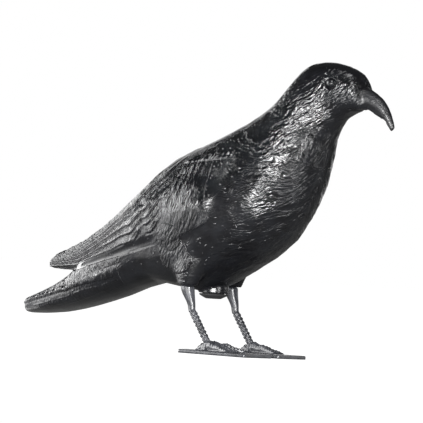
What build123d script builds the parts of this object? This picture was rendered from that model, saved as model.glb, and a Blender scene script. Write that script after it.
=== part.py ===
from build123d import *
from math import copysign, cos, radians, sin
import os

# Crow decoy that stands on its own two feet: a hollow moulded body with folded wings, two plug-in legs
# and a round stopper in the belly. Millimetres.
# +X points towards the bill, +Y is the bird's left side, +Z is up, and the soles stand on Z = 0.

# ---- Driving dimensions ----------------------------------------------------------------------------
drawn_length = 386.0        # the stations below are drawn for a body of this length ...
drawn_width = 118.0         # ... and for a trunk of this width
body_length = 386.0         # tail end to bill tip
body_width = 118.0          # widest part of the trunk, at the shoulders
wall = 2.2                  # wall of the hollow moulding

hip_x = 0.2                 # the leg pegs stand here ...
hip_spacing = 77.0          # ... this far apart
hip_z = 63.0                # rim of the leg sockets above the ground
peg_radius = 5.0            # round peg on top of each leg
peg_depth = 15.0            # length of the peg inside its socket
peg_clearance = 0.05        # radial, turns with friction
socket_spare = 1.0          # the socket is this much deeper than the peg
shoulder_gap = 0.3          # between the leg's shoulder and the socket rim

stopper_x = 5.0             # centre of the round stopper under the belly
stopper_seat_z = 56.5       # flat ring that its flange closes on
stopper_radius = 13.5
stopper_face = 7.0          # radius of the cap's flat middle
stopper_rise = 3.4          # the cap slopes down to it by this much
stopper_edge = 1.2          # thickness of the cap at its rim
stem_radius = 10.0          # cup that plugs into the hole
stem_length = 8.0
stem_clearance = 0.05
stopper_wall = 1.8
recess_gap = 0.8            # around the cap
seat_gap = 0.1              # between the cap and the flat ring
neck_height = 7.0           # moulded collar round the hole, above the flat ring

eye_x = 133.0               # moulded eyes
eye_z = 261.0
eye_y = 24.6                # the crown of the eyeball from the middle of the head
eye_radius = 4.0            # seen from the side
eye_dome = 1.6
lid_width = 2.0             # ring of lid around each eye
lid_rise = 0.9
eye_root = 8.0              # the eye is moulded into the head by this much

thigh_length = 14.2         # oval at the top of the smooth thigh, along X
thigh_width = 13.0          # and along Y
thigh_steps = 6             # sections between the shoulder and the knee
shank_length = 7.6          # oval of the scaly shank, along X
shank_width = 6.4           # and along Y
knee_x = 6.1                # the knee lies this far ahead of the peg ...
knee_z = 41.0               # ... and this far above the ground
ankle_x = 26.0
heel_length = 15.0          # where the shank runs out into the plate
heel_width = 11.0
ankle_z = 10.5
scute_count = 7             # rings of scales down the shank
scute_swell = 0.12          # each stands out by this share

plate_thickness = 3.6       # flat plate under each foot, measured from the peg
plate_front = 78.0
plate_back_outer = 1.0      # its back edge, which slants back towards the other foot
plate_back_inner = -12.0
foot_gap = 11.0             # between the two plates at their front corners
plate_outer_front = 17.0    # from the peg, away from the other foot
plate_inner_back = 24.0
plate_outer_back = 12.0
plate_corner = 2.5
plate_edge = 0.6            # softened upper edge
screw_radius = 2.2          # fixing hole through the plate
screw_x = 62.0
screw_y = 8.0

toe_lengths = (32.0, 36.0, 38.0)    # outer, middle and inner toe
toe_arches = (1.4, 1.4, 2.2)        # a higher power keeps a toe tall for longer
toe_height = 10.5           # at the root
toe_width = 7.5
toe_tip = 2.0
toe_sink = 1.0              # the toes are moulded into the plate by this much
toe_spread = 20.0           # degrees between neighbouring toes
toe_pads = 3                # swellings along a front toe
pad_swell = 0.12            # each stands out by this share
hind_toe_length = 13.0

trunk_facets = 28           # flat sides round a section of the trunk ...
hollow_facets = 20          # ... round the hollow in it ...
bill_facets = 12            # ... round the bill ...
wing_facets = 4             # ... across the outer side of a wing ...
thigh_facets = 16           # ... round the thigh feathers ...
shank_facets = 8            # ... round the shank ...
toe_facets = 8              # ... and round a toe
span_steps = 2              # strips between two neighbouring stations

along = body_length / drawn_length
across = body_width / drawn_width

# ---- Body stations ---------------------------------------------------------------------------------
# Each is the point on the back, the point on the belly (X, Z), the width there, and how square the
# section is: 2 is an ellipse, more is squarer.
trunk = [
    ((-193.0, 39.0), (-192.0, 25.5), 73.0, 2.8),
    ((-169.5, 49.5), (-165.5, 28.0), 75.0, 2.8),
    ((-141.5, 67.5), (-132.5, 35.5), 75.0, 2.6),
    ((-111.5, 100.0), (-97.5, 46.5), 84.0, 2.4),
    ((-72.5, 145.5), (-49.5, 63.5), 100.0, 2.3),
    ((-34.5, 181.0), (-1.5, 57.0), 113.0, 2.2),
    ((6.5, 203.0), (41.5, 78.0), 118.0, 2.1),
    ((41.5, 221.5), (81.0, 106.3), 113.0, 2.1),
    ((67.0, 240.5), (110.0, 155.5), 91.0, 2.1),
    ((85.0, 263.8), (122.0, 202.0), 68.0, 2.1),
    ((100.0, 278.0), (135.0, 225.0), 54.0, 2.1),
    ((124.5, 281.0), (147.0, 233.0), 46.0, 2.1),
    ((146.5, 275.5), (158.5, 237.0), 37.0, 2.1),
    ((151.5, 271.0), (163.0, 239.0), 28.0, 2.1),
]
tail_round = 11.0           # the tail's end is rounded by this much at its corners
tail_wall = 4.5             # the hollow stops this far short of the tail's end ...
hollow_end = 140.5          # ... and at this X in the head

upper_bill = [
    ((140.5, 266.0), (146.5, 237.0), 30.0, 2.0),
    ((159.5, 260.0), (162.5, 239.5), 23.0, 2.0),
    ((177.5, 249.5), (173.5, 235.5), 16.0, 2.0),
    ((187.5, 236.0), (181.5, 227.3), 10.5, 2.0),
    ((193.0, 223.0), (188.0, 218.0), 5.0, 2.0),
]
lower_bill = [
    ((140.5, 259.0), (146.5, 236.0), 22.0, 2.2),
    ((158.5, 253.0), (161.5, 238.0), 16.0, 2.2),
    ((170.5, 246.0), (169.5, 233.8), 11.0, 2.2),
    ((180.5, 235.0), (177.5, 228.5), 6.0, 2.2),
]

# Upper edge, lower edge (X, Z), then how far out the upper edge, the middle and the lower edge lie.
wing_stations = [
    ((50.5, 187.0), (46.5, 149.0), 30.0, 51.0, 49.0),
    ((24.5, 199.0), (26.5, 123.0), 22.0, 59.5, 57.5),
    ((-16.5, 191.0), (-9.5, 106.0), 16.0, 60.0, 57.0),
    ((-58.5, 166.0), (-46.5, 95.0), 11.0, 52.0, 50.5),
    ((-100.5, 126.0), (-88.5, 82.0), 7.0, 38.0, 39.5),
    ((-137.5, 98.5), (-128.5, 70.0), 4.0, 25.0, 27.5),
    ((-174.5, 80.5), (-173.5, 70.0), 2.0, 9.0, 10.0),
]
ridge_rise = 2.8            # the wings meet along the back in a low ridge

# Height above the socket rim, the oval's centre from the peg (X, Y) and its half sizes.
thigh_feathers = [
    (0.0, 0.0, 0.0, 10.0, 9.0),
    (12.0, 0.0, -1.0, 16.5, 12.5),
    (38.0, 2.0, -5.0, 27.0, 18.5),
    (66.0, 8.0, -7.0, 28.0, 19.0),
    (90.0, 14.0, -12.0, 18.0, 12.0),
]


def station_plane(high, low):
    top = Vector(high[0] * along, 0, high[1])
    bottom = Vector(low[0] * along, 0, low[1])
    return Plane(origin=(top + bottom) / 2, x_dir=(0, 1, 0), z_dir=Vector(0, 1, 0).cross(top - bottom))


def station_height(high, low):
    return ((high[0] - low[0]) ** 2 * along**2 + (high[1] - low[1]) ** 2) ** 0.5


def blend(before, start, end, after, share):
    """A point between start and end on the smooth curve through all four, number by number."""
    if isinstance(start, tuple):
        return tuple(blend(*corners, share) for corners in zip(before, start, end, after))
    slope = (end - before) / 2
    bend = before - 2.5 * start + 2 * end - after / 2
    twist = (3 * start - before - 3 * end + after) / 2
    return start + slope * share + bend * share**2 + twist * share**3


def refined(stations):
    """The stations with more of them set on a smooth curve in between."""
    last = len(stations) - 1
    made = []
    for index in range(last):
        near = [stations[min(max(index + offset, 0), last)] for offset in (-1, 0, 1, 2)]
        made += [blend(*near, step / span_steps) for step in range(span_steps)]
    return made + [stations[last]]


def rounded(value, squareness):
    """A cosine or sine pushed towards the corners of its box."""
    return copysign(abs(value) ** (2 / squareness), value)


def facet_ring(half_x, half_y, squareness, sides):
    """An oval drawn with straight sides."""
    turns = [radians(360 * side / sides) for side in range(sides)]
    corners = [
        (half_x * rounded(cos(turn), squareness), half_y * rounded(sin(turn), squareness))
        for turn in turns
    ]
    return Polyline(*corners, close=True)


def oval_loft(stations, inset, sides):
    """Loft through upright ovals, each drawn smaller by the inset."""
    with BuildPart() as made:
        for high, low, width, squareness in refined(stations):
            with BuildSketch(station_plane(high, low)):
                with BuildLine():
                    facet_ring(
                        width * across / 2 - inset, station_height(high, low) / 2 - inset, squareness, sides
                    )
                make_face()
        loft(ruled=True)
    return made.part


def wing(stations, inset):
    """One folded wing, bulging outwards, with a flat ledge along its lower edge."""
    with BuildPart() as made:
        for high, low, top_y, middle_y, low_y in refined(stations):
            half = station_height(high, low) / 2 - inset
            outer = []
            for step in range(wing_facets + 1):
                up = 1 - 2 * step / wing_facets
                reach = middle_y + (top_y - low_y) / 2 * up + ((top_y + low_y) / 2 - middle_y) * up**2
                outer.append((max(reach * across - inset, 1.0), half * up))
            with BuildSketch(station_plane(high, low)):
                with BuildLine():
                    Polyline(*outer, (-1, -half), (-1, half + ridge_rise), close=True)
                make_face()
        loft(ruled=True)
    return made.part


def thigh_bulge(stations, inset):
    """Feathers round the top of the leg, which end in the rim of its socket."""
    with BuildPart() as made:
        for height, centre_x, centre_y, half_x, half_y in refined(stations):
            centre = (hip_x + centre_x, hip_spacing / 2 + centre_y, hip_z + height)
            with BuildSketch(Plane(origin=centre)):
                with BuildLine():
                    facet_ring(half_x - inset, half_y - inset, 2, thigh_facets)
                make_face()
        loft(ruled=True)
    return made.part


def plan_outline(inset, front):
    """Seen from above: everything between the rounded end of the tail and a straight front."""
    back = trunk[0][0][0] * along + inset
    half = trunk[0][2] / 2 * across
    with BuildSketch() as plan:
        with BuildLine():
            end = ThreePointArc((back + tail_round, -half), (back, 0), (back + tail_round, half))
            Polyline(
                end @ 1, (back + tail_round, body_width), (front, body_width),
                (front, -body_width), (back + tail_round, -body_width), end @ 0,
            )
        make_face()
    return plan.sketch


# ---- Body ------------------------------------------------------------------------------------------
with BuildPart() as trunk_hollow:
    add(oval_loft(trunk, wall, hollow_facets))
    with BuildSketch(Plane.XY):
        add(plan_outline(tail_wall, hollow_end * along))
    extrude(amount=body_length, mode=Mode.INTERSECT)

wing_hollow = wing(wing_stations[1:6], wall)
thigh_hollow = thigh_bulge(thigh_feathers[1:], wall)
with BuildPart() as cavity:
    add(wing_hollow)
    mirror(wing_hollow, about=Plane.XZ)
    add(trunk_hollow.part)
    add(thigh_hollow)
    mirror(thigh_hollow, about=Plane.XZ)

left_wing = wing(wing_stations, 0)
left_thigh = thigh_bulge(thigh_feathers, 0)

eye_centre = (eye_x * along, 0, eye_z)
eye_crown = eye_y * across
lid_y = eye_crown - eye_dome
with BuildPart() as left_eye:
    with BuildSketch(Plane(origin=eye_centre)):
        with BuildLine():
            ball = TangentArc((0, eye_crown), (eye_radius, lid_y - lid_rise / 2), tangent=(1, 0))
            Polyline(
                ball @ 1,
                (eye_radius + lid_width / 3, lid_y + lid_rise),
                (eye_radius + lid_width, lid_y - lid_rise),
                (eye_radius + lid_width, eye_crown - eye_root),
                (0, eye_crown - eye_root),
                ball @ 0,
            )
        make_face()
    revolve(axis=Axis(eye_centre, (0, 1, 0)))

with BuildPart() as body_shell:
    add(oval_loft(trunk, 0, trunk_facets))
    with BuildSketch(Plane.XY):
        add(plan_outline(0, body_length))
    extrude(amount=body_length, mode=Mode.INTERSECT)
    add(oval_loft(upper_bill, 0, bill_facets))
    add(oval_loft(lower_bill, 0, bill_facets))
    for left in (left_wing, left_thigh, left_eye.part):
        add(left)
        mirror(left, about=Plane.XZ)
    add(cavity.part, mode=Mode.SUBTRACT)
    # leg sockets
    hips = [(hip_x, side * hip_spacing / 2) for side in (-1, 1)]
    socket_depth = peg_depth + socket_spare
    with BuildSketch(Plane.XY.offset(hip_z)):
        with Locations(*hips):
            Circle(peg_radius + peg_clearance + wall)
    extrude(amount=socket_depth + wall)
    with BuildSketch(Plane.XY.offset(hip_z)):
        with Locations(*hips):
            Circle(peg_radius + peg_clearance)
    extrude(amount=socket_depth, mode=Mode.SUBTRACT)
    # collar, seat and hole for the stopper
    with BuildSketch(Plane.XY.offset(stopper_seat_z)) as collar:
        with Locations((stopper_x, 0)):
            Circle(stopper_radius + recess_gap)
    extrude(amount=neck_height)
    extrude(collar.sketch, amount=-stopper_seat_z, mode=Mode.SUBTRACT)
    with BuildSketch(Plane.XY.offset(stopper_seat_z)):
        with Locations((stopper_x, 0)):
            Circle(stem_radius + stem_clearance)
    extrude(amount=neck_height + 2 * wall, mode=Mode.SUBTRACT)
body_shell.part.label = "body_shell"

# ---- Stopper ---------------------------------------------------------------------------------------
with BuildPart() as belly_stopper:
    with BuildSketch(Plane.XZ.shift_origin((stopper_x, 0, stopper_seat_z - seat_gap))):
        with BuildLine():
            Polyline(
                (0, -stopper_edge - stopper_rise),
                (stopper_face, -stopper_edge - stopper_rise),
                (stopper_radius, -stopper_edge),
                (stopper_radius, 0),
                (stem_radius, 0),
                (stem_radius, stem_length),
                (stem_radius - stopper_wall, stem_length),
                (stem_radius - stopper_wall, 0),
                (0, 0),
                close=True,
            )
        make_face()
    revolve(axis=Axis((stopper_x, 0, 0), (0, 0, 1)))
belly_stopper.part.label = "belly_stopper"

# ---- Legs ------------------------------------------------------------------------------------------
peg_y = -hip_spacing / 2
shoulder_z = hip_z - shoulder_gap


def leg_sections():
    """Height, distance ahead of the peg and the oval, from the shoulder down to the heel."""
    sections = []
    for step in range(thigh_steps):
        share = step / thigh_steps
        taper = (1 - cos(radians(180 * share))) / 2
        height = shoulder_z + (knee_z - shoulder_z) * share
        long_x = thigh_length + (shank_length - thigh_length) * taper
        long_y = thigh_width + (shank_width - thigh_width) * taper
        sections.append((height, knee_x * taper, long_x, long_y))
    steps = 2 * scute_count
    for step in range(steps + 1):
        share = step / steps
        swell = 1 + scute_swell * (1 if step % 2 else 0)
        height = knee_z + (ankle_z - knee_z) * share
        ahead = knee_x + (ankle_x - knee_x) * share
        sections.append((height, ahead, shank_length * swell, shank_width * swell))
    sections.append((plate_thickness - toe_sink, ankle_x, heel_length, heel_width))
    return sections


def toe(length, arch, angle, pads):
    """A padded toe lying on the plate, from under the ankle to its claw."""
    root = Vector(hip_x + ankle_x, peg_y, plate_thickness)
    direction = Vector(1, 0, 0).rotate(Axis.Z, angle)
    steps = 2 * pads
    with BuildPart() as made:
        for step in range(steps + 1):
            share = step / steps
            swell = 1 + pad_swell * (1 if step % 2 else -1)
            high = toe_tip + (toe_height - toe_tip) * (1 - share**arch) * swell
            wide = toe_tip + (toe_width - toe_tip) * (1 - share) * swell
            centre = root + direction * length * share + Vector(0, 0, high / 2 - toe_sink)
            with BuildSketch(Plane(origin=centre, x_dir=direction.cross(Vector(0, 0, 1)), z_dir=direction)):
                with BuildLine():
                    facet_ring(wide / 2, high / 2, 2, toe_facets)
                make_face()
        loft(ruled=True)
    return made.part


toes = [
    toe(length, arch, turn * toe_spread, toe_pads)
    for length, arch, turn in zip(toe_lengths, toe_arches, (-1, 0, 1))
]
hind_toe = toe(hind_toe_length, toe_arches[0], 180, 1)

with BuildPart() as right_leg:
    # plate
    with BuildSketch():
        with BuildLine():
            Polyline(
                (hip_x + plate_back_outer, peg_y - plate_outer_back),
                (hip_x + plate_front, peg_y - plate_outer_front),
                (hip_x + plate_front, -foot_gap / 2),
                (hip_x + plate_back_inner, peg_y + plate_inner_back),
                close=True,
            )
        make_face()
        fillet(vertices(), plate_corner)
        with Locations((hip_x + screw_x, peg_y - screw_y)):
            Circle(screw_radius, mode=Mode.SUBTRACT)
    extrude(amount=plate_thickness)
    chamfer(faces().sort_by(Axis.Z)[-1].outer_wire().edges(), plate_edge)
    # thigh and shank
    for height, ahead, long_x, long_y in leg_sections():
        with BuildSketch(Plane(origin=(hip_x + ahead, peg_y, height))):
            with BuildLine():
                facet_ring(long_x / 2, long_y / 2, 2, shank_facets)
            make_face()
    loft(ruled=True)
    # peg
    with BuildSketch(Plane.XY.offset(shoulder_z)):
        with Locations((hip_x, peg_y)):
            Circle(peg_radius)
    extrude(amount=peg_depth)
    # toes
    for piece in toes:
        add(piece)
    add(hind_toe)
right_leg.part.label = "right_leg"

with BuildPart() as left_leg:
    mirror(right_leg.part, about=Plane.XZ)
left_leg.part.label = "left_leg"

os.makedirs("parts", exist_ok=True)
for piece in (body_shell, belly_stopper, right_leg, left_leg):
    export_step(piece.part, f"parts/{piece.part.label}.step")
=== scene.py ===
from math import cos, pi, radians, sin

import bmesh
import bpy
import numpy as np
from mathutils import Matrix, Vector


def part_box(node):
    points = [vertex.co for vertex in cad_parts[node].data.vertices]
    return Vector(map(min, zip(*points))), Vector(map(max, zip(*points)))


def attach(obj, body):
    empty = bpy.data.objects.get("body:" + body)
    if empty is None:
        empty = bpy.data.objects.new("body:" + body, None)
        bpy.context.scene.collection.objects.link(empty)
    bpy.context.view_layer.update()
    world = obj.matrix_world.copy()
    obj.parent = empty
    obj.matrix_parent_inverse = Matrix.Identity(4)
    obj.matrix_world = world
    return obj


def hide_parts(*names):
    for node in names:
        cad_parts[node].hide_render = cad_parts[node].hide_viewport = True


# Moulded crow decoy: a hollow black body with pressed feathers, two plug-in legs and a belly stopper.
# +X points to the bill, +Y to the bird's left, +Z up. Dictionaries are in millimetres.

mm = 0.001
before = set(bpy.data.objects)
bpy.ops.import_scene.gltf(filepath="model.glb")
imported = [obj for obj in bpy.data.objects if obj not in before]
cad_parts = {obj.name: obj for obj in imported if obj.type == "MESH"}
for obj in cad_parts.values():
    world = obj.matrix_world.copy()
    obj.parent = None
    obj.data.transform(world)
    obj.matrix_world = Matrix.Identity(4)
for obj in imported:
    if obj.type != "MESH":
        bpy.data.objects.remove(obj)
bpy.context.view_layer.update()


def linear(hexColour):  # sRGB hex to the linear colour that shaders take
    values = [int(hexColour[i:i + 2], 16) / 255 for i in (1, 3, 5)]
    return [v / 12.92 if v <= 0.04045 else ((v + 0.055) / 1.055) ** 2.4 for v in values] + [1.0]


def addNode(tree, kind, links=None, values=None, **settings):
    node = tree.nodes.new(kind)
    for name, value in settings.items():
        setattr(node, name, value)
    for name, value in (values or {}).items():
        node.inputs[name].default_value = value
    for name, source in (links or {}).items():
        tree.links.new(source, node.inputs[name])
    return node


def newMaterial(name):
    material = bpy.data.materials.new(name)
    material.use_nodes = True
    material.node_tree.nodes.clear()
    return material, material.node_tree


def newPiece(name, bm, material, body):
    mesh = bpy.data.meshes.new(name)
    bm.to_mesh(mesh)
    bm.free()
    piece = bpy.data.objects.new(name, mesh)
    bpy.context.scene.collection.objects.link(piece)
    mesh.materials.append(material)
    mesh.polygons.foreach_set("use_smooth", [True] * len(mesh.polygons))
    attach(piece, body)
    return piece


# Blow-moulded black polyethylene: a waxy gloss that is broken up by fine feather streaks, a faint orange
# peel and scattered pimples, so that lamps show as small glints and not as clear shapes.
def mouldedPolyethylene(name, look):
    material, tree = newMaterial(name)
    place = addNode(tree, "ShaderNodeTexCoord").outputs["Object"]
    cloud = addNode(tree, "ShaderNodeTexNoise", {"Vector": place},
                    {"Scale": 1 / (look["cloud"] * mm), "Detail": 3.0, "Roughness": 0.5})
    shade = addNode(tree, "ShaderNodeValToRGB", {"Fac": cloud.outputs["Fac"]})
    shade.color_ramp.elements[0].position = 0.35
    shade.color_ramp.elements[0].color = linear(look["dark"])
    shade.color_ramp.elements[1].position = 0.68
    shade.color_ramp.elements[1].color = linear(look["light"])
    polish = addNode(tree, "ShaderNodeMapRange", {"Value": cloud.outputs["Fac"]},
                     {"From Min": 0.3, "From Max": 0.7, "To Min": look["smooth"], "To Max": look["dull"]})
    gloss = polish.outputs["Result"]
    if "bill" in look:      # the bill is duller than the feathers
        spot = addNode(tree, "ShaderNodeSeparateXYZ", {"Vector": place})
        ahead = addNode(tree, "ShaderNodeMapRange", {"Value": spot.outputs["X"]},
                        {"From Min": look["bill"][0] * mm, "From Max": look["bill"][1] * mm,
                         "To Min": 0.0, "To Max": look["billDull"]})
        gloss = addNode(tree, "ShaderNodeMath", {0: gloss, 1: ahead.outputs["Result"]},
                        operation="ADD").outputs["Value"]
    peel = addNode(tree, "ShaderNodeTexNoise", {"Vector": place},
                   {"Scale": 1 / (look["peel"] * mm), "Detail": 2.0, "Roughness": 0.6})
    normal = addNode(tree, "ShaderNodeBump", {"Height": peel.outputs["Fac"]},
                     {"Strength": 1.0, "Distance": look["peelDepth"] * mm}).outputs["Normal"]
    grain = addNode(tree, "ShaderNodeAttribute", attribute_name="grain")
    parts = addNode(tree, "ShaderNodeSeparateXYZ", {"Vector": grain.outputs["Vector"]})
    if "pimple" in look:    # small round pimples, here and there, fewer where the grain is deep
        cells = addNode(tree, "ShaderNodeTexVoronoi", {"Vector": place}, {"Scale": 1 / (look["pimple"] * mm)})
        pimple = addNode(tree, "ShaderNodeMapRange", {"Value": cells.outputs["Distance"]},
                         {"From Min": 0.0, "From Max": 0.22, "To Min": 1.0, "To Max": 0.0})
        bare = addNode(tree, "ShaderNodeMapRange", {"Value": parts.outputs["Z"]}, {"From Max": 0.1})
        calm = addNode(tree, "ShaderNodeMapRange", {"Value": parts.outputs["Z"]},
                       {"From Min": 0.35, "From Max": 0.7, "To Min": 1.0, "To Max": 0.15})
        share = addNode(tree, "ShaderNodeMath", {0: bare.outputs["Result"], 1: calm.outputs["Result"]},
                        operation="MULTIPLY")
        risen = addNode(tree, "ShaderNodeMath", {0: pimple.outputs["Result"], 1: share.outputs["Value"]},
                        operation="MULTIPLY")
        normal = addNode(tree, "ShaderNodeBump", {"Height": risen.outputs["Value"], "Normal": normal},
                         {"Strength": 1.0, "Distance": look["pimpleRise"] * mm}).outputs["Normal"]
    if "streak" in look:    # streaks along the grain that the relief gives every point
        lay = addNode(tree, "ShaderNodeCombineXYZ", {"X": parts.outputs["X"], "Y": parts.outputs["Y"]})
        stretch = addNode(tree, "ShaderNodeMapping", {"Vector": lay.outputs["Vector"]},
                          {"Scale": (1 / look["streak"][0], 1 / look["streak"][1], 1)})
        streak = addNode(tree, "ShaderNodeTexNoise", {"Vector": stretch.outputs["Vector"]},
                         {"Scale": 1.0, "Detail": 1.5, "Roughness": 0.55})
        cutIn = addNode(tree, "ShaderNodeMath", {0: streak.outputs["Fac"], 1: parts.outputs["Z"]},
                        operation="MULTIPLY")
        normal = addNode(tree, "ShaderNodeBump", {"Height": cutIn.outputs["Value"], "Normal": normal},
                         {"Strength": 1.0, "Distance": look["streakDepth"] * mm}).outputs["Normal"]
    skin = addNode(tree, "ShaderNodeBsdfPrincipled",
                   {"Base Color": shade.outputs["Color"], "Roughness": gloss, "Normal": normal},
                   {"IOR": 1.51})
    addNode(tree, "ShaderNodeOutputMaterial", {"Surface": skin.outputs["BSDF"]})
    return material


# cloud, peel, pimple and streak are sizes in millimetres, smooth and dull the ends of the roughness
bodyLook = {
    "dark": "#08080a", "light": "#0f1013", "cloud": 14.0, "smooth": 0.19, "dull": 0.27,
    "peel": 0.9, "peelDepth": 0.1, "pimple": 4.6, "pimpleRise": 0.6,
    "streak": (6.5, 1.8), "streakDepth": 1.5,       # length and width of a streak, drawn coarse so that it shows
    "bill": (156.0, 164.0), "billDull": 0.2,        # where the bill's duller finish sets in, and how much
}
legLook = {"dark": "#1b1c1f", "light": "#323337", "cloud": 9.0, "smooth": 0.28, "dull": 0.38,
           "peel": 0.8, "peelDepth": 0.05}
stopperLook = {"dark": "#0b0b0c", "light": "#121314", "cloud": 6.0, "smooth": 0.8, "dull": 0.88,
               "peel": 0.6, "peelDepth": 0.05}
bodyPlastic = mouldedPolyethylene("moulded black polyethylene", bodyLook)
legPlastic = mouldedPolyethylene("moulded black leg plastic", legLook)
stopperPlastic = mouldedPolyethylene("satin black stopper plastic", stopperLook)
print("materials made")


# The body's skin: an even net over the outside of the moulding, so that feathers can be pressed into it.
skinSizes = {
    "voxel": 0.78,                      # mesh of the even net
    "boreReach": 10.6,                  # the stopper's hole lies inside this radius
    "pocket": 9.0,                      # how deep the hole is kept
    "merge": 0.001,                     # corners this close are one
    "rounds": 5,                        # smoothing of the whole net ...
    "trunkRounds": 40,                  # ... of the trunk, away from the eyes and the edges ...
    "trunk": (-182.0, 148.0), "trunkLow": 66.0, "edgeClear": 7.0, "eyeClear": 10.0,
    "shoulderRounds": 70,               # ... of the place where the wing's front runs into the trunk ...
    "shoulderX": (-32.0, 74.0), "shoulderZ": (90.0, 192.0),
    "billRounds": 24, "bill": 146.0,    # ... of the bill ...
    "tailRounds": 40, "tail": -180.0,   # ... and of the tail's end
    "cut": -18.0,                       # front and rear skins meet here
}


def mergedCopy(node):
    bm = bmesh.new()
    bm.from_mesh(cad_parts[node].data)
    bmesh.ops.remove_doubles(bm, verts=bm.verts, dist=skinSizes["merge"] * mm)
    return bm


def islands(bm):    # groups of faces that hang together
    left, found = set(bm.faces), []
    while left:
        group, front = set(), [left.pop()]
        while front:
            face = front.pop()
            group.add(face)
            near = {other for edge in face.edges for other in edge.link_faces} & left
            left -= near
            front += near
        found.append(group)
    return found


def evenNet(name, bm, voxel):   # the closed shape as an even net of small quads
    mesh = bpy.data.meshes.new(name)
    bm.to_mesh(mesh)
    bm.free()
    rough = bpy.data.objects.new(name, mesh)
    bpy.context.scene.collection.objects.link(rough)
    remesh = rough.modifiers.new("even net", "REMESH")
    remesh.mode = "VOXEL"
    remesh.voxel_size = voxel * mm
    made = bpy.data.meshes.new_from_object(rough.evaluated_get(bpy.context.evaluated_depsgraph_get()))
    bpy.data.objects.remove(rough)
    even = bmesh.new()
    even.from_mesh(made)
    bpy.data.meshes.remove(made)
    return even


def outerSkin():    # the body's outer surface alone, with a short pocket for the stopper
    bm = mergedCopy("body_shell")
    low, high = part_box("belly_stopper")
    centre = (low + high) / 2
    bore = []
    for face in bm.faces:
        middle = face.calc_center_median()
        away = ((middle.x - centre.x) ** 2 + (middle.y - centre.y) ** 2) ** 0.5
        if away < skinSizes["boreReach"] * mm and abs(face.normal.z) < 0.5:
            bore.append(face)
    bmesh.ops.delete(bm, geom=bore, context="FACES")
    groups = sorted(islands(bm), key=lambda group: max(face.calc_center_median().z for face in group))
    for group in groups[:-1]:
        bmesh.ops.delete(bm, geom=list(group), context="FACES")
    rim = [edge for edge in bm.edges if edge.is_boundary]
    drawn = bmesh.ops.extrude_edge_only(bm, edges=rim)["geom"]
    pocket = [vert for vert in drawn if isinstance(vert, bmesh.types.BMVert)]
    bmesh.ops.translate(bm, verts=pocket, vec=(0, 0, skinSizes["pocket"] * mm))
    bmesh.ops.holes_fill(bm, edges=[edge for edge in bm.edges if edge.is_boundary], sides=0)
    bmesh.ops.recalc_face_normals(bm, faces=bm.faces)
    return bm


def soften(bm, verts, rounds):
    for _ in range(rounds):
        bmesh.ops.smooth_vert(bm, verts=verts, factor=0.5, use_axis_x=True, use_axis_y=True, use_axis_z=True)


# Lines across the bird from its back to its belly (X, Z), and the width there: they give every point
# of the skin a place along the body and a turn around it.
girth = {
    "lines": [((-193, 39), (-192, 25.5), 73), ((-141.5, 67.5), (-132.5, 35.5), 75),
              ((-72.5, 145.5), (-49.5, 63.5), 100), ((-34.5, 181), (-1.5, 57), 113),
              ((6.5, 203), (41.5, 78), 118), ((41.5, 221.5), (81, 106), 113),
              ((67, 240.5), (110, 155), 91), ((85, 263.8), (122, 202), 68),
              ((100, 278), (135, 225), 54), ((124.5, 281), (147, 233), 46), ((151.5, 271), (163, 239), 28)],
}


def hashed(first, second, seed):    # a fixed value from 0 to 1 for each pair of whole numbers
    mixed = (first * 73856093) ^ (second * 19349663) ^ (seed * 83492791)
    mixed = (mixed ^ (mixed >> 13)) * 1274126177
    return ((mixed ^ (mixed >> 16)) & 65535) / 65535


def softNoise(a, b, seed):  # smooth noise from 0 to 1 with one hill or hollow per unit
    wholeA, wholeB = np.floor(a).astype(np.int64), np.floor(b).astype(np.int64)
    partA, partB = a - wholeA, b - wholeB
    partA, partB = partA ** 2 * (3 - 2 * partA), partB ** 2 * (3 - 2 * partB)
    low = hashed(wholeA, wholeB, seed) * (1 - partA) + hashed(wholeA + 1, wholeB, seed) * partA
    high = hashed(wholeA, wholeB + 1, seed) * (1 - partA) + hashed(wholeA + 1, wholeB + 1, seed) * partA
    return low * (1 - partB) + high * partB


def ramp(value, start, end):    # 0 before start, 1 after end, smooth between
    share = np.clip((value - start) / (end - start), 0, 1)
    return share * share * (3 - 2 * share)


def bodyPlace(points):  # how far along the body each point lies and how far round from the back, in mm
    backs = np.array([line[0] for line in girth["lines"]], float)
    bellies = np.array([line[1] for line in girth["lines"]], float)
    widths = np.array([line[2] for line in girth["lines"]], float)
    middles = (backs + bellies) / 2
    lengths = np.concatenate([[0], np.cumsum(np.linalg.norm(np.diff(middles, axis=0), axis=1))])
    across = backs - bellies
    heights = np.linalg.norm(across, axis=1)
    ahead = np.stack([across[:, 1], -across[:, 0]], 1) / heights[:, None]
    flat = points[:, [0, 2]]
    distance = np.einsum("nij,ij->ni", flat[:, None, :] - middles[None], ahead)
    index = np.clip((distance > 0).sum(1) - 1, 0, len(middles) - 2)
    row = np.arange(len(points))
    before, after = distance[row, index], distance[row, index + 1]
    share = np.clip(before / np.where(before - after == 0, 1, before - after), 0, 1)

    def mixed(values):
        part = share if values.ndim == 1 else share[:, None]
        return values[index] * (1 - part) + values[index + 1] * part

    up = mixed(across / heights[:, None])
    rise = ((flat - mixed(middles)) * up).sum(1) / (mixed(heights) / 2)
    side = np.abs(points[:, 1]) / (mixed(widths) / 2)
    turn = np.arctan2(side, rise)
    return mixed(lengths), turn * (mixed(heights) + mixed(widths)) / 4, turn


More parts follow.
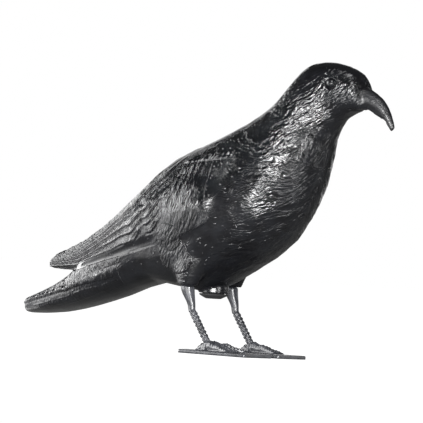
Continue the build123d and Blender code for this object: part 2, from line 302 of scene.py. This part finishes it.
# Breast, neck, head, back and flank: short wavy feathers that lie along the body. Angles round the body
# (turns) are in radians from the back.
streakSizes = {
    "pitch": 2.1, "length": 8.0, "rise": 0.8, "lean": -14.0, "warp": 3.0, "warpSize": 8.0,
    "headSlant": 38.0, "headWarp": 3.5, "headWarpSize": 9.0, "throatTurn": 1.2,
    "headFrom": (224, 236), "headTilt": 0.4, "headWave": 8, "headWaveSize": 12,     # where the head's lie begins
    "ragged": 0.8, "raggedSize": 2.5,                       # a ragged line hides the turn of the grain
    "frontX": (42, 86), "frontZ": (108, 150), "frontWave": 16, "frontWaveSize": 9,  # where they are deepest
    "bellyTurn": (2.0, 2.3), "bellyX": (10, 50), "backTurn": (0.75, 0.45),
    "belly": 0.6, "flank": 0.15, "back": 0.3,               # how much of them shows there
}


def smallFeathers(x, z, throat, along, around, turn):
    sizes = streakSizes
    lean, size = radians(sizes["lean"]), sizes["warpSize"]
    across = around + (softNoise(along / size, around / size, 3) - 0.5) * 2 * sizes["warp"]
    grainU = along * cos(lean) - across * sin(lean)
    grainV = along * sin(lean) + across * cos(lean)

    size = sizes["headWaveSize"]
    line = z + sizes["headTilt"] * x + sizes["headWave"] * (softNoise(x / size, z / size, 15) - 0.5)
    onHead = ramp(line, *sizes["headFrom"])
    slant, size = radians(sizes["headSlant"]), sizes["headWarpSize"]
    headU = x * cos(slant) + z * sin(slant)
    headV = (z * cos(slant) - x * sin(slant) + sizes["throatTurn"] * throat
             + sizes["headWarp"] * (softNoise(x / size, z / size, 7) - 0.5))

    waves = softNoise(grainU / sizes["length"], grainV / sizes["pitch"], 5) * (1 - onHead)
    waves = waves + softNoise(headU / sizes["length"], headV / sizes["pitch"], 6) * onHead
    size = sizes["raggedSize"]
    headGrain = onHead + sizes["ragged"] * (softNoise(x / size, z / size, 19) - 0.5) > 0.5
    grainU, grainV = np.where(headGrain, headU, grainU), np.where(headGrain, headV, grainV)

    size = sizes["frontWaveSize"]
    wave = sizes["frontWave"] * (softNoise(x / size, z / size, 17) - 0.5)
    front = ramp(x + wave, *sizes["frontX"]) * ramp(z, *sizes["frontZ"])
    belly = ramp(turn, *sizes["bellyTurn"]) * ramp(x, *sizes["bellyX"])
    back = ramp(turn, *sizes["backTurn"])
    cut = sizes["flank"] + (1 - sizes["flank"]) * np.maximum(front * (1 - back), sizes["belly"] * belly)
    cut = np.where(back > cut, np.maximum(cut, sizes["back"] * back), cut)
    return sizes["rise"] * cut * waves, grainU, grainV, cut


tailSizes = {       # where the row of barbs and the line of dots below it lie round the tail: (X, turn)
    "row": [(-193, 1.5), (-142, 1.5), (-107, 1.88), (-90, 2.03), (-74, 2.12), (-50, 2.15)],
    "line": [(-193, 2.1), (-157, 2.05), (-131, 2.0), (-100, 2.25), (-60, 2.4)],
    "rowHalf": 0.15, "ridge": 1.5, "rowFrom": (-190, -176),
    "barbs": 1.1, "pitch": 2.2, "barbLength": 7.0, "barbLean": 0.2, "topBarbs": 0.45,
    "dotSize": (2.5, 2.2), "dots": 0.25, "lineDots": 0.9, "lineHalf": 0.05,
    "rim": (2.75, 2.83), "rimDrop": 0.5,
    "cut": 0.45, "rowCut": 0.4,         # how deep the grain is, and how much deeper on the row and above
}


def tailFeathers(x, along, around, turn):
    sizes = tailSizes
    place = (turn - np.interp(x, *zip(*sizes["row"]))) / sizes["rowHalf"]
    row = np.clip(1 - place ** 2, 0, 1) * ramp(x, *sizes["rowFrom"])
    leaning = along + sizes["barbLean"] * around
    barbs = softNoise(around / sizes["barbLength"], leaning / sizes["pitch"], 9)
    dots = softNoise(around / sizes["dotSize"][0], along / sizes["dotSize"][1], 11)
    line = np.clip(1 - np.abs(turn - np.interp(x, *zip(*sizes["line"]))) / sizes["lineHalf"], 0, 1)
    height = row ** 0.6 * (sizes["ridge"] + sizes["barbs"] * (barbs - 0.5))
    height = height + sizes["topBarbs"] * barbs * ramp(place, 1.0, -0.5) + sizes["lineDots"] * dots * line
    height = height + sizes["dots"] * dots - sizes["rimDrop"] * ramp(turn, *sizes["rim"])
    cut = sizes["cut"] + sizes["rowCut"] * np.maximum(row, ramp(place, 1.0, 0.0))
    return height, around, leaning, cut


wingSizes = {       # upper and lower edge of the folded wing: (X, Z)
    "upper": [(-174.5, 80.5), (-137.5, 98.5), (-100.5, 126), (-58.5, 166), (-16.5, 191), (24.5, 199), (50.5, 187)],
    "lower": [(-173.5, 70), (-128.5, 70), (-88.5, 82), (-46.5, 95), (-9.5, 106), (26.5, 123), (46.5, 149)],
    "front": 36.0, "frontSoft": 3.5, "frontSofter": 7.0, "frontFade": (110.0, 155.0),   # softer towards the top
    "out": (0.1, 0.28), "reach": (3, 7),    # only on faces that look sideways, away from the middle
    "bands": 8.0,                           # long feathers from the wing's upper to its lower edge
    "bandRise": 2.3, "bandCrest": 0.84, "bandWave": 0.22, "bandWaveSize": 14,
    "turnFrom": -62.0, "turnUp": 0.05,      # ahead of here they turn up towards the shoulder
    "scallop": 0.5, "scallopWidth": 13.0,   # ... and end in rounded tips
    "ledge": (0.85, 0.89), "ledgeX": (-20, -34), "ledgeEnd": 0.97, "ledgeDrop": 2.4,    # smooth lower edge
    "barbPitch": 1.6, "barbLength": 4.5, "barbRise": 0.3, "barbLean": 0.2, "barbWave": 1.2, "barbWaveSize": 7,
    "cut": 0.85,
}
shoulderSizes = {   # ahead of the long feathers, upright wavy ones run down from the shoulder
    "from": (-32, -8), "pitch": 2.4, "length": 10.0, "rise": 0.8, "base": 0.35,
    "lean": 0.18, "bow": 0.0035, "bowMiddle": 165, "wave": 3, "waveSize": (11, 17),
    "fadeX": (6, 30), "fadeZ": (128, 150), "fade": 0.65,
}


def wingFeathers(x, z, out, reach):
    sizes = wingSizes
    upper = np.interp(x, *zip(*sizes["upper"]))
    lower = np.interp(x, *zip(*sizes["lower"]))
    down = (upper - z) / (upper - lower)
    edge = sizes["frontSoft"] + sizes["frontSofter"] * ramp(z, *sizes["frontFade"])
    onWing = (ramp(down, 0.0, 0.06) * ramp(down, 1.02, 1.0) * ramp(out, *sizes["out"])
              * ramp(x, sizes["front"] + edge, sizes["front"] - 3 * edge) * ramp(reach, *sizes["reach"]))
    phase = down * sizes["bands"] + sizes["turnUp"] * np.maximum(x - sizes["turnFrom"], 0)
    tips = np.abs(np.sin(pi * (x - 0.4 * z) / sizes["scallopWidth"] + 1.7 * np.floor(phase)))
    phase = phase - sizes["scallop"] * tips * ramp(x, -75, -50) * ramp(x, 0, -15) * ramp(down, 0.3, 0.5)
    size = sizes["bandWaveSize"]
    phase = phase + sizes["bandWave"] * (softNoise(x / size, z / size, 21) - 0.5)
    part = phase - np.floor(phase)
    band = sizes["bandRise"] * part ** 1.3 * ramp(part, 1.0, sizes["bandCrest"])
    size = sizes["barbWaveSize"]
    grainU = z + 3 * part
    grainV = x - sizes["barbLean"] * z + sizes["barbWave"] * softNoise(x / size, z / size, 23)
    barb = softNoise(grainU / sizes["barbLength"], grainV / sizes["barbPitch"], 25)
    band = band + sizes["barbRise"] * barb * ramp(part, 0.0, 0.15)

    near = shoulderSizes
    wave = near["wave"] * (softNoise(x / near["waveSize"][0], z / near["waveSize"][1], 33) - 0.5)
    bow = x - near["lean"] * z + near["bow"] * (z - near["bowMiddle"]) ** 2 + wave
    upright = softNoise(z / near["length"], bow / near["pitch"], 35)
    shoulder = ramp(x, *near["from"])
    fading = 1 - near["fade"] * ramp(x, *near["fadeX"]) * ramp(z, *near["fadeZ"])
    band = band * (1 - shoulder) + (near["base"] + near["rise"] * upright * fading) * shoulder

    ledge = ramp(down, *sizes["ledge"]) * ramp(x, *sizes["ledgeX"])
    fall = sizes["ledgeDrop"] * ramp(down, sizes["ledge"][0], sizes["ledgeEnd"])
    band = band * (1 - ledge) + (sizes["bandRise"] * 0.8 - fall) * ledge
    band = band * (0.35 + 0.65 * np.maximum(ramp(down, 0.1, 0.35), ramp(x, -60, -100)))     # low near the back
    cut = sizes["cut"] * (1 - 0.85 * ledge) * (1 - 0.2 * shoulder) * fading
    return band, grainU * 1.3, grainV * 1.35, cut, onWing


# The row of short nicks over a fine line along the top of the shoulder.
rowSizes = {"from": -12.0, "to": 50.0, "height": 178.0, "slope": 0.138, "low": 1.2, "tall": 5.5,
            "rise": 1.5, "base": 0.2, "pitch": 2.2, "length": 9.0, "lean": 0.35, "cut": 0.8}


def shoulderRow(x, z, out):     # how much of it shows, and its height
    line = rowSizes["height"] + rowSizes["slope"] * (x - rowSizes["from"])
    low, start, end = rowSizes["low"], rowSizes["from"], rowSizes["to"]
    tall = low + (rowSizes["tall"] - low) * ramp(x, start + 8, start + 14)
    onRow = ramp(x, start - 1, start + 1) * ramp(x, end + 4, end)
    onRow = onRow * ramp(z, line - 0.6, line) * ramp(z, line + tall + 1.5, line + tall) * ramp(out, 0.25, 0.4)
    nicks = softNoise((z - line) / rowSizes["length"], (x - rowSizes["lean"] * z) / rowSizes["pitch"], 31)
    return onRow, rowSizes["base"] + rowSizes["rise"] * nicks


# Rounded feathers over the top of the leg: centre (X, Z), half sizes, rise; each is laid over the one before.
thighPatches = [
    {"at": (-8.0, 86.0), "half": (17.0, 12.0), "rise": 0.8},
    {"at": (-11.0, 95.0), "half": (15.5, 12.5), "rise": 1.2},
    {"at": (-13.5, 107.0), "half": (13.0, 13.5), "rise": 1.8},
]
thighBarbs = {"lean": 0.5, "length": 5.0, "pitch": 1.3, "rise": 0.6, "cut": 0.9}

# Eye: a dome in a groove with a ring of lid round it. Gape: the line between the halves of the bill.
eyePlace = {"x": 133.0, "z": 261.0, "radius": 4.4, "dome": 2.4, "groove": 1.6, "lid": 1.6, "clear": (7.6, 6.6)}
gapeSizes = {"from": (147.0, 237.5), "to": (186.0, 226.0), "width": 1.1, "depth": 0.9}
plainSizes = {"billX": (157, 162), "bill": 0.75, "under": (-0.8, -0.95), "underTurn": (2.2, 2.5)}


def eyeAndGape(x, z, onEye, ball):
    radius = eyePlace["radius"]
    dome = eyePlace["dome"] * np.sqrt(np.clip(1 - (ball / radius) ** 2, 0, 1))
    ring = np.clip(1 - np.abs(ball - radius - 0.5) / 0.9, 0, 1)
    lid = np.clip(1 - np.abs(ball - radius - 1.9) / 1.1, 0, 1)
    eye = onEye * (dome - eyePlace["groove"] * ring + eyePlace["lid"] * lid)
    start, end = gapeSizes["from"], gapeSizes["to"]
    share = np.clip((x - start[0]) / (end[0] - start[0]), 0, 1)
    mouth = start[1] + (end[1] - start[1]) * share ** 1.8
    groove = np.clip(1 - np.abs(z - mouth) / gapeSizes["width"], 0, 1) * (x > start[0]) * (x < end[0])
    return eye, gapeSizes["depth"] * groove


def laidOver(under, over, share):   # height and grain of one kind of feather over another
    height = under[0] * (1 - share) + over[0] * share
    grainU = np.where(share > 0.5, over[1], under[1])
    grainV = np.where(share > 0.5, over[2], under[2])
    return height, grainU, grainV, under[3] * (1 - share) + over[3] * share


def feathers(points, normals):  # how high the relief is, then the grain: along, across, how deep it is cut
    x, z = points[:, 0], points[:, 2]
    reach = np.abs(points[:, 1])
    out = np.abs(normals[:, 1])
    along, around, turn = bodyPlace(points)
    throat = reach * ramp(normals[:, 0], 0.72, 0.95)    # how far round the front of the neck
    coat = smallFeathers(x, z, throat, along, around, turn)
    coat = laidOver(coat, tailFeathers(x, along, around, turn), ramp(x, -60, -95))
    wing = wingFeathers(x, z, out, reach)
    height, grainU, grainV, cut = laidOver(coat, wing, wing[4])

    onRow, row = shoulderRow(x, z, out)
    height = height * (1 - onRow) + onRow * row
    cut = cut * (1 - onRow) + rowSizes["cut"] * onRow

    lean = thighBarbs["lean"]
    barbs = softNoise((z + lean * x) / thighBarbs["length"], (x - lean * z) / thighBarbs["pitch"], 41)
    for patch in thighPatches:
        (middleX, middleZ), (halfX, halfZ) = patch["at"], patch["half"]
        away = np.sqrt(((x - middleX) / halfX) ** 2 + ((z - middleZ) / halfZ) ** 2)
        dome = patch["rise"] * np.sqrt(np.clip(1 - (away * 0.9) ** 2, 0, 1)) + thighBarbs["rise"] * barbs
        rounded = (dome, z + lean * x, x - lean * z, thighBarbs["cut"])
        over = ramp(away, 1.03, 0.97) * ramp(out, 0.25, 0.4)
        height, grainU, grainV, cut = laidOver((height, grainU, grainV, cut), rounded, over)

    # the eyes and the underside are smooth, and the bill nearly so
    ball = np.hypot(x - eyePlace["x"], z - eyePlace["z"])
    onEye = ramp(ball, *eyePlace["clear"]) * ramp(out, 0.3, 0.5)
    under = ramp(normals[:, 2], *plainSizes["under"]) * ramp(turn, *plainSizes["underTurn"])
    plain = np.maximum.reduce([plainSizes["bill"] * ramp(x, *plainSizes["billX"]), onEye, under])
    eye, groove = eyeAndGape(x, z, onEye, ball)
    return height * (1 - plain) + eye - groove, grainU, grainV, cut * (1 - plain)


pressSizes = {"middle": 0.5, "inset": 0.05}    # the relief stands half out of the skin, inside the part's box


def bodyRelief(points, normals):
    height, grainU, grainV, cut = feathers(points, normals)
    return height - pressSizes["middle"], grainU, grainV, cut


def press(bm, node, relief):    # moves the net along its own normals and notes the grain for the material
    bm.normal_update()
    points = np.array([vert.co[:] for vert in bm.verts]) / mm
    normals = np.array([vert.normal[:] for vert in bm.verts])
    height, grainU, grainV, cut = relief(points, normals)
    moved = points * mm + normals * (height * mm)[:, None]
    low, high = [np.array(corner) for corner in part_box(node)]
    moved = np.clip(moved, low + pressSizes["inset"] * mm, high - pressSizes["inset"] * mm)
    grain = bm.verts.layers.float_vector.new("grain")
    for vert, place, u, v, depth in zip(bm.verts, moved, grainU, grainV, cut):
        vert.co = place
        vert[grain] = (u, v, depth)
    bm.normal_update()


def isTrunk(place):     # away from the bill, the eyes, the wings' lower edges and the tail's rim
    x, y, z = place / mm
    rear, front = skinSizes["trunk"]
    lower = np.interp(x, *zip(*wingSizes["lower"]))
    nearEdge = x < -30 and abs(z - lower) < skinSizes["edgeClear"] and abs(y) > 8
    clear = skinSizes["eyeClear"]
    nearEye = abs(x - eyePlace["x"]) < clear and abs(z - eyePlace["z"]) < clear
    onTrunk = rear < x < front and z > skinSizes["trunkLow"] and not nearEdge and not nearEye
    return onTrunk or (rear < x < -20 and abs(y) < 26)      # and the middle of the tail and the belly


def isShoulder(place):
    x, _, z = place / mm
    return (skinSizes["shoulderX"][0] < x < skinSizes["shoulderX"][1]
            and skinSizes["shoulderZ"][0] < z < skinSizes["shoulderZ"][1])


skin = evenNet("body_net", outerSkin(), skinSizes["voxel"])
print("body net", len(skin.verts), "points")
soften(skin, skin.verts, skinSizes["rounds"])
soften(skin, [vert for vert in skin.verts if isTrunk(vert.co)], skinSizes["trunkRounds"])
soften(skin, [vert for vert in skin.verts if isShoulder(vert.co)], skinSizes["shoulderRounds"])
soften(skin, [vert for vert in skin.verts if vert.co.x / mm > skinSizes["bill"]], skinSizes["billRounds"])
soften(skin, [vert for vert in skin.verts if vert.co.x / mm < skinSizes["tail"]], skinSizes["tailRounds"])
print("body net smoothed")
press(skin, "body_shell", bodyRelief)
print("feathers pressed")


# The skin is cut along the mould's parting line, and again across the hips; the shading runs on
# over the cuts because each part keeps the whole skin's normals.
def cutOff(bm, place, normal):
    geom = list(bm.verts) + list(bm.edges) + list(bm.faces)
    cut = bmesh.ops.bisect_plane(bm, geom=geom, dist=1e-7, plane_co=place, plane_no=normal,
                                 clear_outer=True)["geom_cut"]
    edges = [item for item in cut if isinstance(item, bmesh.types.BMEdge)]
    bmesh.ops.holes_fill(bm, edges=edges, sides=0)


kept = skin.verts.layers.float_vector.new("kept")
for vert in skin.verts:
    vert[kept] = vert.normal
for sideName, side in (("right", -1), ("left", 1)):
    for endName, end in (("front", 1), ("rear", -1)):
        part = skin.copy()
        cutOff(part, (0, 0, 0), (0, -side, 0))
        cutOff(part, (skinSizes["cut"] * mm, 0, 0), (-end, 0, 0))
        piece = newPiece(sideName + "_" + endName + "_skin", part, bodyPlastic, "body")
        mesh = piece.data
        values = np.empty(len(mesh.vertices) * 3)
        mesh.attributes["kept"].data.foreach_get("vector", values)
        mesh.normals_split_custom_set_from_vertices(values.reshape(-1, 3).tolist())
        mesh.attributes.remove(mesh.attributes["kept"])
        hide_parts("body_shell")
        print(piece.name, len(piece.data.polygons), "faces")
skin.free()


# Legs: smooth thighs, rows of beads round each shank and ribs across the toes.
legSizes = {
    "voxel": 0.5, "rounds": 4,
    "beadPitch": 3.3, "beadRise": 1.0, "beadRows": 6, "shank": (11.0, 40.0),
    "toePitch": 3.0, "toeRise": 0.6, "toe": (4.6, 5.6),
    "pegSlim": 0.3, "peg": (66.0, 70.0),    # the round peg is a little slimmer inside its socket
}


def legRelief(points, normals):
    x, y, z = points.T
    low, high = legSizes["shank"]
    levels = np.arange(z.min(), z.max(), 1.0)
    whole = np.clip(np.digitize(z, levels) - 1, 0, len(levels) - 1)
    count = np.maximum(np.bincount(whole, minlength=len(levels)), 1)
    middleX = np.interp(z, levels + 0.5, np.bincount(whole, x, len(levels)) / count)
    middleY = np.interp(z, levels + 0.5, np.bincount(whole, y, len(levels)) / count)
    onShank = ramp(z, low, low + 3) * ramp(z, high, high - 2)
    turns = np.arctan2(y - middleY, x - middleX) / (2 * pi) * legSizes["beadRows"]
    bead = np.abs(np.sin(pi * (z / legSizes["beadPitch"] + 0.5 * np.floor(turns)))) * np.abs(np.sin(pi * turns))
    onToe = ramp(z, *legSizes["toe"]) * ramp(z, low + 1, low - 1) * ramp(normals[:, 2], 0.1, 0.5)
    rib = np.abs(np.sin(pi * x / legSizes["toePitch"]))
    height = onShank * legSizes["beadRise"] * (bead ** 0.7 - 0.5) + onToe * legSizes["toeRise"] * (rib - 0.5)
    return height - legSizes["pegSlim"] * ramp(z, *legSizes["peg"]), x, z, x * 0


for sideName in ("right", "left"):
    leg = evenNet(sideName + "_leg_net", mergedCopy(sideName + "_leg"), legSizes["voxel"])
    soften(leg, leg.verts, legSizes["rounds"])
    press(leg, sideName + "_leg", legRelief)
    piece = newPiece(sideName + "_leg_moulding", leg, legPlastic, "leg_" + sideName)
    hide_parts(sideName + "_leg")
    print(piece.name, len(piece.data.polygons), "faces")


# Stopper: the plug with its low dome, rounded all over and a little slimmer inside its hole.
stopperSizes = {"voxel": 0.4, "rounds": 10, "slim": 0.25, "stem": (62.0, 64.0)}


def slimmed(points, normals):
    x, y, z = points.T
    return x * 0 - stopperSizes["slim"] * ramp(z, *stopperSizes["stem"]), x, y, x * 0


plug = evenNet("stopper_net", mergedCopy("belly_stopper"), stopperSizes["voxel"])
soften(plug, plug.verts, stopperSizes["rounds"])
press(plug, "belly_stopper", slimmed)
piece = newPiece("domed_stopper", plug, stopperPlastic, "stopper")
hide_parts("belly_stopper")
print(piece.name, len(piece.data.polygons), "faces")


# Floor, light and camera.
stageSizes = {
    "floorWidth": 9000.0, "floor": "#7d7d7c",
    "near": 120.0, "far": 420.0, "shadedGlowNear": 0.95,      # the white that the camera sees on the lit floor, a little weaker near the bird as painted shade round it
    "ambient": 0.06,                                    # how strongly the dim room lights the object
}
cameraSizes = {
    "azimuth": 32.0, "elevation": 0.5, "roll": 3.7, "distance": 12000.0, "clip": 100.0,
    "frameWidth": 397.6, "target": (-3.0, 0.0, 133.5), "sensor": 36.0,
}


# Matt white paper: pale, with the bird's own soft shadow on it, and a glow for the camera that is a little weaker
# near the bird, a painted shade round it.
def whiteFloor():
    material, tree = newMaterial("matt white paper")
    place = addNode(tree, "ShaderNodeTexCoord").outputs["Object"]
    grain = addNode(tree, "ShaderNodeTexNoise", {"Vector": place}, {"Scale": 1 / (3 * mm), "Detail": 2.0})
    bump = addNode(tree, "ShaderNodeBump", {"Height": grain.outputs["Fac"]},
                   {"Strength": 0.1, "Distance": 0.1 * mm})
    paper = addNode(tree, "ShaderNodeBsdfDiffuse", {"Normal": bump.outputs["Normal"]},
                    {"Color": linear(stageSizes["floor"])})
    seen = addNode(tree, "ShaderNodeLightPath")
    away = addNode(tree, "ShaderNodeVectorMath", {0: place}, operation="LENGTH")
    # the glow is a little weaker near the bird: painted shade round its feet
    glowWithPaintedShade = addNode(tree, "ShaderNodeMapRange", {"Value": away.outputs["Value"]},
                   {"From Min": stageSizes["near"] * mm, "From Max": stageSizes["far"] * mm,
                    "To Min": stageSizes["shadedGlowNear"], "To Max": 1.0})
    shown = addNode(tree, "ShaderNodeMath", {0: seen.outputs["Is Camera Ray"], 1: glowWithPaintedShade.outputs["Result"]},
                    operation="MULTIPLY")
    glow = addNode(tree, "ShaderNodeEmission", {"Strength": shown.outputs["Value"]})
    both = addNode(tree, "ShaderNodeAddShader", {0: paper.outputs[0], 1: glow.outputs[0]})
    addNode(tree, "ShaderNodeOutputMaterial", {"Surface": both.outputs[0]})
    return material


bm = bmesh.new()
bmesh.ops.create_grid(bm, x_segments=2, y_segments=2, size=stageSizes["floorWidth"] / 2 * mm)
floorMesh = bpy.data.meshes.new("floor")
bm.to_mesh(floorMesh)
bm.free()
floor = bpy.data.objects.new("floor", floorMesh)
floorMesh.materials.append(whiteFloor())
bpy.context.scene.collection.objects.link(floor)

world = bpy.data.worlds.new("pale room")
bpy.context.scene.world = world
world.use_nodes = True
tree = world.node_tree
tree.nodes.clear()
seen = addNode(tree, "ShaderNodeLightPath")
strength = addNode(tree, "ShaderNodeMapRange", {"Value": seen.outputs["Is Camera Ray"]},
                   {"To Min": stageSizes["ambient"], "To Max": 1.0})
room = addNode(tree, "ShaderNodeBackground", {"Strength": strength.outputs["Result"]},
               {"Color": (1, 1, 1, 1)})
addNode(tree, "ShaderNodeOutputWorld", {"Surface": room.outputs[0]})

# each lamp: direction from the bird (azimuth as the camera's, elevation), distance, size, strength
lamps = {
    "left soft wall": {"azimuth": -80.0, "elevation": 8.0, "distance": 1500.0, "size": (2200.0, 860.0),
                       "watts": 54.0},
    "front soft box": {"azimuth": 30.0, "elevation": 0.0, "distance": 1500.0, "size": (360.0, 210.0),
                       "watts": 48.0},
    "right soft box": {"azimuth": 72.0, "elevation": 4.0, "distance": 1500.0, "size": (360.0, 300.0),
                       "watts": 7.0},
    "low left card": {"azimuth": -44.0, "elevation": -22.0, "distance": 310.0, "size": (240.0, 150.0),
                      "watts": 0.7},
    "low front strip": {"azimuth": 20.0, "elevation": -9.0, "distance": 620.0, "size": (260.0, 60.0),
                        "watts": 1.5},
    "top soft box": {"azimuth": 60.0, "elevation": 52.0, "distance": 1500.0, "size": (500.0, 400.0),
                     "watts": 12.0},
    "low tail card": {"azimuth": -67.0, "elevation": -35.0, "distance": 220.0, "size": (150.0, 70.0),
                      "watts": 0.06},
    "low right strip": {"azimuth": 75.0, "elevation": -9.0, "distance": 640.0, "size": (220.0, 70.0),
                        "watts": 0.4},
    "far front soft box": {"azimuth": 140.0, "elevation": 2.0, "distance": 1500.0, "size": (700.0, 400.0),
                           "watts": 2.5},
    "far left soft wall": {"azimuth": -150.0, "elevation": 6.0, "distance": 1500.0, "size": (1300.0, 760.0),
                           "watts": 4.0},
}


def direction(azimuth, elevation):
    a, e = radians(azimuth), radians(elevation)
    return Vector((sin(a) * cos(e), -cos(a) * cos(e), sin(e)))


def aimed(item, target, away):
    item.location = target + away
    item.rotation_euler = away.to_track_quat("Z", "Y").to_euler()


target = Vector(cameraSizes["target"]) * mm
for name, lamp in lamps.items():
    light = bpy.data.lights.new(name, "AREA")
    light.shape = "RECTANGLE"
    light.size, light.size_y = lamp["size"][0] * mm, lamp["size"][1] * mm
    light.energy = lamp["watts"]
    lightObject = bpy.data.objects.new(name, light)
    bpy.context.scene.collection.objects.link(lightObject)
    aimed(lightObject, target, direction(lamp["azimuth"], lamp["elevation"]) * lamp["distance"] * mm)
    lightObject.visible_camera = False

camera = bpy.data.cameras.new("camera")
camera.sensor_width = cameraSizes["sensor"]
camera.lens = cameraSizes["sensor"] * cameraSizes["distance"] / cameraSizes["frameWidth"]
camera.clip_end = cameraSizes["clip"]
cameraObject = bpy.data.objects.new("camera", camera)
bpy.context.scene.collection.objects.link(cameraObject)
back = direction(cameraSizes["azimuth"], cameraSizes["elevation"])
aimed(cameraObject, target, back * cameraSizes["distance"] * mm)
turned = back.to_track_quat("Z", "Y").to_matrix() @ Matrix.Rotation(radians(cameraSizes["roll"]), 3, "Z")
cameraObject.rotation_euler = turned.to_euler()
bpy.context.scene.camera = cameraObject
bpy.context.scene.view_settings.view_transform = "Standard"
print("stage set")
